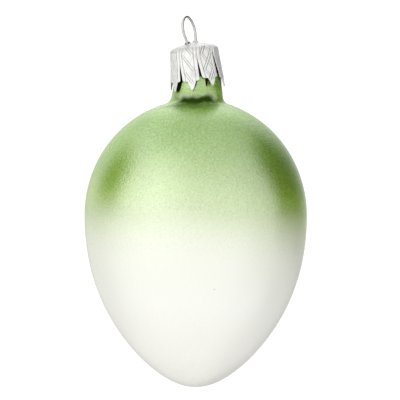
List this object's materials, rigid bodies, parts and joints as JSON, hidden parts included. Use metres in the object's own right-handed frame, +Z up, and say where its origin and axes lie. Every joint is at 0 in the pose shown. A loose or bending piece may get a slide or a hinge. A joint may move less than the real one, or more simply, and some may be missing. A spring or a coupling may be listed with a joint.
{
  "type": "glass easter egg ornament",
  "caption": "Hanging glass easter egg, pearl white with a green sprayed crown, under a stamped silver cap with petals and a spring wire loop.",
  "frame": {"origin": "inside of the wire loop's top, where the ornament hangs", "axes": "+Z up along the egg's axis, from the pointed end to the cap; X through the cap's two wire holes"},
  "size_m": [0.06, 0.06, 0.1005],
  "materials": {
    "painted_glass": "opaque pearl white coat under a satin green spray that fades out below the crown",
    "silver_sheet": "bright stamped sheet with a pressed diamond pattern",
    "spring_wire": "bright drawn wire"
  },
  "bodies": {
    "root": {"glass_egg": "painted_glass", "cap": "silver_sheet", "wire_hanger": "spring_wire"}
  },
  "joints": []
}
